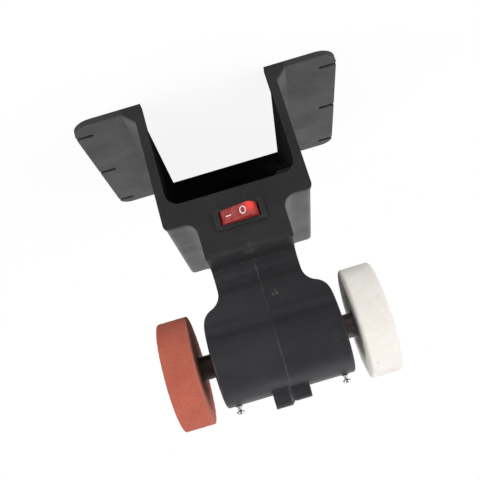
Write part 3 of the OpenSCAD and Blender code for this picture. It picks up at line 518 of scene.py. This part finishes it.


# ---- Front panel ----
# Flat plate in the same black plastic, snapped into the front of the shells. Its rim is rubbed
# pale, its legs carry a painted highlight low down, and the faces of its arch are painted dark
# as shade of the tunnel.
panel = plastic(
    "front_panel_plastic", (0.0132, 0.0129, 0.0146), (0.0188, 0.0184, 0.0205),
    (0.07, 0.07, 0.072), 0.48, radius=0.0007, wear=0.58, Specular_IOR_Level=0.4)
tree = panel.node_tree
tint(panel, use(tree, scratches, Scale=70.0)["Mask"], (0.06, 0.06, 0.062), 0.35)
x, y, z = axes(tree, on_piece(tree))
front_y, arch_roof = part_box("front_panel")[0][1], 0.0808
# Painted highlight: the legs are painted paler low down
tint(panel, step(tree, z, 0.050, 0.005), (0.036, 0.036, 0.038), 0.5)
# Painted shade: the faces of the arch inside the tunnel are painted near black and matt
inside = times(tree, step(tree, y, front_y + 0.0002, front_y + 0.0007),
               step(tree, maths(tree, "ABSOLUTE", x), tunnel_half + edge_blur, tunnel_half),
               step(tree, z, arch_roof + edge_blur, arch_roof))
tint(panel, inside, (0.004, 0.004, 0.0042))
lay(panel, "Roughness", inside, 0.9)
scraped = times(tree, near(tree, (-0.0010, -0.0660, 0.1124), 0.0018), scrape(tree))
tint(panel, scraped, (0.036, 0.036, 0.035))
dress("front_panel", panel)


# ---- Screws ----
# Bright zinc-plated steel: pan heads with a cross recess, rolled threads. Six pull the shells
# together, four hold the dock, and two stand up from the barrel and bear on the motor.
def off_spindle(tree, middle_x=0.0):
    """The x, y and z of the point on the piece, from a point on the spindle's axis."""
    middle = (middle_x, spindle_y, spindle_z)
    return axes(tree, put(tree, "VectorMath", on_piece(tree), middle,
                          operation="SUBTRACT").outputs[0])


# Height: fine rings left by the lathe, about the spindle. Tone: stains that follow them
turning_marks, given, out = effect("turning_marks", {"Scale": 900.0, "Drift": 120.0},
                                   {"Height": "Float", "Tone": "Float"})
tree = turning_marks
x, y, z = off_spindle(tree)
away = maths(tree, "SQRT", maths(tree, "ADD", times(tree, y, y), times(tree, z, z)))
rings = put(tree, "CombineXYZ", x, away, 0.0).outputs[0]
line = put(tree, "TexNoise", rings, None, given["Scale"], 3.0, 0.6).outputs[0]
stain = put(tree, "TexNoise", on_piece(tree), None, given["Drift"], 4.0, 0.6).outputs[0]
tree.links.new(line, out.inputs["Height"])
tone = maths(tree, "ADD", times(tree, stain, 0.7), times(tree, line, 0.3))
tree.links.new(step(tree, tone, 0.35, 0.65), out.inputs["Tone"])


def metal(name, dark, light, worn, rough, scale=900.0, radius=0.0003, wear=0.5, metallic=1.0,
          relief=None):
    """Machined metal: turning marks, stains between two tones, edges rubbed to a third. Relief
    is a function for the height of something larger, such as a thread."""
    material = paint(name, dark, Roughness=rough + 0.1, Metallic=metallic)
    tree = material.node_tree
    marks = use(tree, turning_marks, Scale=scale)
    edges = use(tree, rubbed_edges, Radius=radius, Wear=wear)
    tint(material, marks["Tone"], light)
    tint(material, edges["Rub"], worn)
    lay(material, "Roughness", marks["Tone"], rough - 0.05)
    if relief is None:
        lift(material, marks["Height"], 0.35, 0.00003, edges["Normal"])
    else:
        height = maths(tree, "MULTIPLY_ADD", marks["Height"], 0.1, relief(tree))
        lift(material, height, 0.8, 0.0003, edges["Normal"])
    return material


zinc = metal("zinc_plated_steel", (0.42, 0.42, 0.41), (0.66, 0.66, 0.65),
             (0.8, 0.8, 0.8), 0.28, scale=1600.0)
screw_sides = 48


def screw_points(length, shank, head, tall, pitch):
    """Screw along +x with its head's underside at x = 0. A profile of distance along x and
    radius is turned about x; the thread takes a rounded V out of the radius that winds on
    with the angle, and two crossed slots sink the middle of the head. Shank and head are
    radii, and tall is the head's height."""
    flat_rings, turn_rings, flat_share = 16, 6, 0.72
    slot_half, slot_reach, slot_end, slot_depth = 0.17, 0.62, 0.8, 0.75  # shares of the head
    rim = np.linspace(0, np.pi / 2, turn_rings + 1)[1:]
    top_r = np.concatenate([np.linspace(0.02, flat_share, flat_rings),
                            flat_share + (1 - flat_share) * np.sin(rim)]) * head
    top_x = np.concatenate([np.full(flat_rings, -1.0), -0.35 - 0.65 * np.cos(rim)]) * tall
    thread_x = np.linspace(0.02 * pitch, length - 0.6 * shank, int(length / pitch * 6))
    x = np.concatenate([top_x, [0, 0], thread_x, [length]])[:, None]
    r = np.concatenate([top_r, [head, shank], np.full(len(thread_x), shank), [0.3 * shank]])
    r = r[:, None]
    around = circle(screw_sides)
    y, z = np.abs(r * np.cos(around)) / head, np.abs(r * np.sin(around)) / head
    slots = np.maximum(np.minimum(1 - y / slot_half, 1 - z / slot_reach),
                       np.minimum(1 - z / slot_half, 1 - y / slot_reach))
    sunk = np.clip(slots * 3, 0, 1) * np.maximum(1 - r / (slot_end * head), 0)
    in_head = np.arange(len(x))[:, None] < len(top_x)
    phase = x / pitch - around / (2 * np.pi)
    cut = 0.16 * shank * np.abs(2 * (phase - np.floor(phase)) - 1)
    cut[:len(top_x) + 3] = 0
    cut[-1] = 0
    x = x + np.where(in_head, sunk * slot_depth * tall, 0)
    return np.stack([x, (r - cut) * np.cos(around), (r - cut) * np.sin(around)], -1)


def screw(name, node, foot, way, length, size):
    """Places a screw: the head's underside at foot and the shank along the way x or z; -z
    stands it on its tip."""
    points = screw_points(length, **size)
    if way == "z":
        points = np.stack([-points[..., 2], points[..., 1], points[..., 0]], -1)
    if way == "-z":
        points = np.stack([points[..., 2], points[..., 1], -points[..., 0]], -1)
    faces = turned_over(tube_faces(len(points), screw_sides))
    piece = add_mesh(name, points + np.array(foot), faces, zinc, "stand")
    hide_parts(node)


plastic_thread = dict(shank=0.00145, head=0.0028, tall=0.0022, pitch=0.0011)
metal_thread = dict(shank=0.0013, head=0.0024, tall=0.0018, pitch=0.0007)
for k, (y, z) in enumerate(((-0.012, -0.0094), (0.022, -0.0094), (-0.011, 0.011),
                            (0.011, 0.011))):
    screw(f"shell_screw_{k + 1}", "housing_screws", (-0.008, spindle_y + y, deck_z + z), "x",
          0.016, plastic_thread)
screw("tail_screw", "housing_screws", (-0.0098, 0.064492, 0.015), "x", 0.0188, plastic_thread)
screw("ear_screw", "housing_screws", (-0.0095, spindle_y, 0.1980), "x", 0.0195, plastic_thread)
for k, (x, y) in enumerate(((-0.018, -0.0175), (0.018, -0.0175), (-0.018, 0.0225),
                            (0.018, 0.0225))):
    screw(f"dock_screw_{k + 1}", "dock_screws", (x, spindle_y + y, 0.074), "z", 0.0084,
          plastic_thread)
for side, x in (("left", -0.0345), ("right", 0.0345)):
    screw("motor_screw_" + side, "motor_screws", (x, spindle_y, 0.1988), "-z", 0.0091,
          metal_thread)


# ---- Wheels ----
# Left: pressed white wool felt for polishing. Right: vitrified aluminium oxide, terracotta
# and gritty. Both are bored for the arbor and recessed outside for washer and nut.
wheel_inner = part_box("wheel_abrasive")[0][0]
wheel_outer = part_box("wheel_abrasive")[1][0]
spindle_x = (wheel_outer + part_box("wheel_felt")[0][0]) / 2


def rough_field(points, wavelength, seed, count=48):
    """Smooth noise from -1 to 1: the mean of many plane waves with random directions."""
    rng = np.random.default_rng(seed)
    way = rng.normal(size=(count, 3))
    way *= (2 * np.pi / wavelength) * rng.uniform(0.7, 1.4, (count, 1)) / np.linalg.norm(
        way, axis=1, keepdims=True)
    waves = np.sin(points.reshape(-1, 3) @ way.T + rng.uniform(0, 2 * np.pi, count))
    return np.clip(waves.sum(1) * math.sqrt(2 / count) / 2, -1, 1).reshape(points.shape[:-1])


def wheel(name, node, side, edge, swell, roughness, wavelength, seed, material):
    """Wheel turned about the spindle from a closed outline of radius and distance along it.
    Outer corners are rounded to the edge radius, soft stuff swells past the flange and past
    its nominal size, and noise lifts the surface, except close to the bore. Side is -1 on the
    left and 1 on the right."""
    inner, outer, seat = wheel_inner - spindle_x - swell, wheel_outer - spindle_x, 0.0606
    radius, bore, recess = 0.035 + swell - roughness, 0.0051, 0.0150
    bore_round, bevel, calm_ring = 0.0003, 0.0002, 0.004
    columns = 288

    def corner(r, x, from_angle, size, count=9):
        t = np.radians(from_angle + np.linspace(0, 90, count))
        return np.stack([r + size * np.cos(t), x + size * np.sin(t)], 1)

    def straight(a, b, spacing=0.0006):
        n = max(2, int(np.hypot(b[0] - a[0], b[1] - a[1]) / spacing))
        return a + np.linspace(0, 1, n)[1:-1, None] * (b - a)

    stops = [corner(bore + bore_round, inner + bore_round, 180, bore_round, 5),
             corner(radius - edge, inner + edge, 270, edge),
             corner(radius - edge, outer - edge, 0, edge),
             corner(recess + edge, outer - edge, 90, edge),
             np.array([[recess, seat + bevel], [recess - bevel, seat]]),
             np.array([[bore + bevel, seat], [bore, seat - bevel]])]
    outline = np.vstack([part for stop, following in zip(stops, stops[1:] + stops[:1])
                         for part in (stop, straight(stop[-1], following[0]))])
    r, x = outline[:, :1], outline[:, 1:]
    around = circle(columns)
    points = np.stack([np.repeat(x, columns, 1), r * np.cos(around), r * np.sin(around)], -1)
    ahead = np.roll(outline, -1, 0) - np.roll(outline, 1, 0)
    ahead /= np.linalg.norm(ahead, axis=1, keepdims=True)
    out_r, out_x = ahead[:, 1:], -ahead[:, :1]
    out = np.stack([np.repeat(out_x, columns, 1), out_r * np.cos(around),
                    out_r * np.sin(around)], -1)
    wave = rough_field(points, wavelength, seed) * roughness
    wave *= np.clip((r - bore) / calm_ring, 0, 1)
    points = points + out * wave[..., None]
    points[..., 0] = np.clip(points[..., 0], inner, outer)
    points = points * (side, 1, 1) + (spindle_x, spindle_y, spindle_z)
    faces = grid_faces(len(outline), columns, close_rows=True, close_columns=True)
    if side > 0:
        faces = turned_over(faces)
    piece = add_mesh(name, points, faces, material, "spindle")
    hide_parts(node)


felt = paint("wool_felt", (0.85, 0.80, 0.735), Roughness=0.95,
             Sheen_Weight=0.25, Sheen_Roughness=0.6, Specular_IOR_Level=0.15)
tree = felt.node_tree
cloud = put(tree, "TexNoise", on_piece(tree), None, 110.0, 5.0, 0.7).outputs[0]
tint(felt, step(tree, cloud, 0.35, 0.7), (0.89, 0.845, 0.785))
hairs = 0.0
for spin in ((0.3, 0.2, 0.1), (1.2, 0.4, 1.9), (-0.8, 1.1, 0.7)):
    way = put(tree, "Mapping", on_piece(tree), None, spin, (1, 9, 9)).outputs[0]
    hair = put(tree, "TexNoise", way, None, 330.0, 2.0, 0.5, None, None, None, 0.6).outputs[0]
    off_line = maths(tree, "ABSOLUTE", maths(tree, "SUBTRACT", hair, 0.5))
    hairs = maths(tree, "MAXIMUM", hairs, step(tree, off_line, 0.05, 0.0))
tint(felt, hairs, (0.93, 0.92, 0.88), 0.5)
tint(felt, use(tree, specks, Scale=240.0, Share=0.05, Spread=0.16)["Mask"],
     (0.45, 0.42, 0.36))
fuzz = put(tree, "TexNoise", on_piece(tree), None, 900.0, 4.0, 0.8).outputs[0]
lift(felt, maths(tree, "ADD", times(tree, hairs, 0.5), fuzz), 0.8, 0.00035)
wheel("felt_wheel", "wheel_felt", side=-1, edge=0.0014, swell=0.0004, roughness=0.0001,
      wavelength=0.004, seed=3, material=felt)

grit = paint("vitrified_abrasive", (0.345, 0.080, 0.051), Roughness=0.9,
             Specular_IOR_Level=0.3)
tree = grit.node_tree
body_tone = put(tree, "TexNoise", on_piece(tree), None, 60.0, 4.0, 0.6).outputs[0]
tint(grit, step(tree, body_tone, 0.3, 0.7), (0.385, 0.095, 0.060))
grains = put(tree, "TexVoronoi", on_piece(tree), None, 1500.0).outputs
shade = put(tree, "SeparateColor", grains["Color"]).outputs[0]
tint(grit, step(tree, shade, 0.55, 1.0), (0.62, 0.22, 0.14), 0.14)
tint(grit, step(tree, shade, 0.3, 0.0), (0.24, 0.06, 0.038), 0.22)
tint(grit, use(tree, specks, Scale=520.0, Share=0.06, Spread=0.22)["Mask"],
     (0.2, 0.06, 0.04))
tint(grit, use(tree, specks, Scale=700.0, Share=0.02, Spread=0.16)["Mask"],
     (0.6, 0.26, 0.18))
# Painted highlight: the wheel's inner face is painted paler
painted_light_inner_face = step(tree, axes(tree, on_piece(tree))[0], wheel_inner + 0.0003, wheel_inner + 0.0001)
tint(grit, painted_light_inner_face, (0.70, 0.36, 0.31), 0.15)
coarse = put(tree, "TexNoise", on_piece(tree), None, 800.0, 3.0, 0.7).outputs[0]
lift(grit, maths(tree, "SUBTRACT", coarse, grains["Distance"]), 0.35, 0.00013)
wheel("grinding_wheel", "wheel_abrasive", side=1, edge=0.0006, swell=0, roughness=0.00012,
      wavelength=0.0022, seed=8, material=grit)


# ---- Arbors, washers and nuts ----
# Steel arbors blackened with oil: a sleeve on the motor shaft, a flange against the wheel and
# a threaded stub, locked by a grub screw. Plated washer and nut in the wheel's recess.
def stub_thread(tree):
    """Ridges that wind round the spindle, only on the stubs outside the flanges."""
    thread_pitch, flange_face, stub_start = 0.0015, 0.0514, 0.0518
    x, y, z = off_spindle(tree, spindle_x)
    winding = maths(tree, "SUBTRACT", times(tree, x, 2 * math.pi / thread_pitch),
                    maths(tree, "ARCTAN2", z, y))
    on_stub = step(tree, maths(tree, "ABSOLUTE", x), flange_face, stub_start)
    return times(tree, maths(tree, "SINE", winding), on_stub)


# Painted highlight: the left arbor is painted lighter than the right, as it faces the lamp on the
# left
for side, tone in (("left", 2.6), ("right", 1.0)):
    dark, light = (0.058, 0.051, 0.046), (0.10, 0.088, 0.08)
    blued = metal(
        "blackened_arbor_" + side, [tone * value for value in dark],
        [tone * value for value in light], (0.3, 0.27, 0.24), 0.42, wear=0.38,
        relief=stub_thread, metallic=0.8)
    dress("arbor_" + side, blued)
grub = metal("black_oxide_steel", (0.02, 0.02, 0.021), (0.05, 0.05, 0.052),
             (0.25, 0.25, 0.25), 0.35, metallic=0.8)
dress("grub_screws", grub)
plated = metal("plated_nut_steel", (0.4, 0.4, 0.39), (0.62, 0.62, 0.6),
               (0.8, 0.8, 0.79), 0.26, scale=1300.0, radius=0.0004)
dress("wheel_washers", plated)
dress("wheel_nuts", plated)


# ---- Switch ----
# Black snap-in rocker switch: a bezel with a raised rim, a clear red rocker, clouded by use,
# with a lamp under its left end, a printed ring for off and a dash for on.
bezel = plastic("switch_black", (0.0165, 0.0163, 0.0178), (0.0245, 0.024, 0.026),
                (0.06, 0.06, 0.06), 0.4, radius=0.0004, Specular_IOR_Level=0.4)
dress("switch_body", bezel)
red = paint("clear_red_rocker", (0.19, 0.006, 0.007), Roughness=0.3,
            Coat_Weight=0.4, Coat_Roughness=0.2, Emission_Strength=0.3,
            Emission_Color=(0.15, 0.003, 0.002, 1))
tree = red.node_tree
edges = use(tree, rubbed_edges, Radius=0.0007, Wear=0.9)
skin = use(tree, moulded_skin, Grain=900.0, Drift=160.0)
tint(red, skin["Tone"], (0.27, 0.014, 0.014))
haze = put(tree, "TexNoise", on_piece(tree), None, 420.0, 5.0, 0.75).outputs[0]
tint(red, step(tree, haze, 0.35, 0.65), (0.30, 0.082, 0.076), 0.55)
tint(red, edges["Rub"], (0.5, 0.035, 0.03))
lamp_spot, lamp_rim, lamp_core = (-0.0078, -0.0750, 0.0900), 0.0062, 0.0012
away = put(tree, "VectorMath", on_piece(tree), lamp_spot, operation="DISTANCE")
lit = step(tree, away.outputs["Value"], lamp_rim, lamp_core)
# Painted light: round the lamp the base colour is painted brighter too, besides the glow
tint(red, lit, (0.6, 0.04, 0.024), 0.8)
lay(red, "Emission Color", lit, (0.9, 0.045, 0.025, 1))
scuffs = use(tree, scratches, Scale=160.0, Share=0.45)["Mask"]
lay(red, "Roughness", times(tree, scuffs, 0.2), 0.6)
lift(red, skin["Height"], 0.15, 0.00003, edges["Normal"])
dress("switch_rocker", red)


def on_rocker(along, up_z, proud):
    """Points on the rocker's face, tilted about its pin: along the face from its middle,
    height above the pin, and how far they stand proud of the face."""
    tilt, face_depth = math.radians(15), -0.0085
    pin_x, pin_y, pin_z = axles["rocker_tilt"]
    depth = face_depth - proud
    x = along * math.cos(tilt) - depth * math.sin(tilt)
    y = along * math.sin(tilt) + depth * math.cos(tilt)
    return np.stack([x + pin_x, y + pin_y, up_z + pin_z + 0 * x], -1)


def printed_loop(name, centre, half_length, half_height, stroke, material):
    """Printed oval line: a flat lens-shaped section carried round an ellipse."""
    rings, sides = 64, 10
    a, b = circle(rings)[:, None], circle(sides)
    wide = half_length + stroke / 2 * np.cos(b)
    high = half_height + stroke / 2 * np.cos(b)
    points = on_rocker(centre + wide * np.cos(a), high * np.sin(a),
                       0.00002 + 0.00006 * np.sin(b) + 0 * a)
    faces = grid_faces(rings, sides, close_rows=True, close_columns=True)
    add_mesh(name, points, faces, material, "rocker")


def printed_dash(name, centre, up_z, length, stroke, material):
    """Printed bar with round ends: rings of a rounded outline that shrink to its middle."""
    sides = 40
    a = circle(sides)
    run = (length - stroke) / 2 * np.sign(np.cos(a))
    share = np.array([1.0, 1.0, 0.92, 0.5, 0.05])[:, None]
    proud = np.array([-0.00004, 0.00003, 0.00007, 0.00008, 0.00008])[:, None]
    points = on_rocker(centre + share * (run + stroke / 2 * np.cos(a)),
                       share * stroke / 2 * np.sin(a) + up_z, proud + 0 * a)
    add_mesh(name, points, tube_faces(len(share), sides), material, "rocker")


ink = paint("white_printing_ink", (0.74, 0.69, 0.68), Roughness=0.5)
tree = ink.node_tree
tint(ink, use(tree, specks, Scale=2500.0, Share=0.3, Spread=0.4)["Mask"],
     (0.72, 0.5, 0.48))
lift(ink, use(tree, moulded_skin, Grain=3000.0)["Height"], 0.3, 0.00002)
printed_loop("off_ring", centre=-0.0047, half_length=0.00175, half_height=0.0022,
             stroke=0.0006, material=ink)
printed_dash("on_dash", centre=0.0048, up_z=0.0003, length=0.0036, stroke=0.0006, material=ink)


# ---- Battery dock and contacts ----
# Glass-filled black nylon: a plate with two rails under the tunnel roof, a catch pocket and a
# block with three brass blades for a slide-in tool battery.
# Painted shade: the nylon is set darker than the shells' plastic, for the shade under the tunnel
# roof
nylon = plastic("dock_nylon", (0.006, 0.006, 0.0065), (0.012, 0.012, 0.012),
                (0.06, 0.06, 0.06), 0.55, grain=1100.0, depth=0.0001)
tree = nylon.node_tree
way = put(tree, "Mapping", on_piece(tree), None, (0.1, 0.2, 0.5), (12, 1, 12)).outputs[0]
strand = put(tree, "TexNoise", way, None, 180.0, 2.0, 0.5).outputs[0]
tint(nylon, step(tree, strand, 0.6, 0.75), (0.045, 0.045, 0.045), 0.4)
for node in ("battery_dock", "terminal_block", "motor_end_bell"):
    dress(node, nylon)
brass = metal("contact_brass", (0.6, 0.42, 0.16), (0.78, 0.6, 0.3),
              (0.92, 0.8, 0.55), 0.25, radius=0.0002)
tree = brass.node_tree
tint(brass, use(tree, specks, Scale=900.0, Share=0.25, Spread=0.4)["Mask"],
     (0.3, 0.18, 0.07))
for node in ("contact_blades", "switch_terminals", "motor_terminals", "brush_holders"):
    dress(node, brass)


# ---- Motor ----
# Brushed motor with a drawn and zinc-plated steel can, two ferrite magnets, a laminated and
# wound armature, a copper commutator and carbon brushes, on two ball bearings.
def wound_turns(tree):
    """Round wires side by side, slanting over the core's ends."""
    _, y, z = off_spindle(tree)
    return maths(tree, "SINE", times(tree, maths(tree, "ADD", y, z), 9000.0))


can_steel = metal("drawn_can_steel", (0.35, 0.35, 0.34), (0.5, 0.5, 0.485),
                  (0.7, 0.7, 0.69), 0.32, scale=500.0)
tree = can_steel.node_tree
tint(can_steel, use(tree, specks, Scale=300.0, Share=0.12, Spread=0.3)["Mask"],
     (0.2, 0.19, 0.17))
dress("motor_can", can_steel)
bright_steel = metal("ground_steel", (0.5, 0.5, 0.49), (0.68, 0.68, 0.67),
                     (0.8, 0.8, 0.8), 0.16, scale=2400.0)
dress("motor_shaft", bright_steel)
dress("bearings", bright_steel)
ferrite = plastic("sintered_ferrite", (0.03, 0.03, 0.032), (0.055, 0.055, 0.058),
                  (0.12, 0.12, 0.12), 0.6, grain=1400.0)
dress("motor_magnets", ferrite)
sheets = metal("stacked_core_sheets", (0.2, 0.2, 0.21), (0.34, 0.34, 0.35),
               (0.5, 0.5, 0.5), 0.45)
tree = sheets.node_tree
sheet_pitch = 0.0006
along = times(tree, axes(tree, on_piece(tree))[0], 2 * math.pi / sheet_pitch)
tint(sheets, step(tree, maths(tree, "SINE", along), 0.6, 1.0), (0.06, 0.05, 0.045))
dress("armature_core", sheets)
enamel = metal("enamelled_copper", (0.32, 0.11, 0.04), (0.6, 0.25, 0.1),
               (0.8, 0.45, 0.25), 0.3, relief=wound_turns)
tree = enamel.node_tree
tint(enamel, step(tree, wound_turns(tree), -0.2, -1.0), (0.12, 0.035, 0.015))
dress("armature_windings", enamel)
copper = metal("commutator_copper", (0.6, 0.27, 0.14), (0.8, 0.42, 0.26),
               (0.9, 0.6, 0.45), 0.22, scale=2200.0)
dress("commutator", copper)
carbon = plastic("brush_carbon", (0.012, 0.012, 0.013), (0.03, 0.03, 0.031),
                 (0.07, 0.07, 0.07), 0.5, grain=2600.0)
dress("carbon_brushes", carbon)


# ---- Wires ----
# Stranded wires in soft coloured insulation: battery to switch, switch to motor and motor
# back to the battery.
for node, name, dark, light in (
        ("supply_wire", "red_insulation", (0.42, 0.012, 0.01), (0.55, 0.02, 0.016)),
        ("motor_wire", "orange_insulation", (0.55, 0.11, 0.015), (0.68, 0.16, 0.02)),
        ("return_wire", "black_insulation", (0.012, 0.012, 0.012), (0.024, 0.024, 0.024))):
    insulation = plastic(name, dark, light, light, 0.38, grain=700.0,
                         radius=0.0002, depth=0.00004)
    dress(node, insulation)
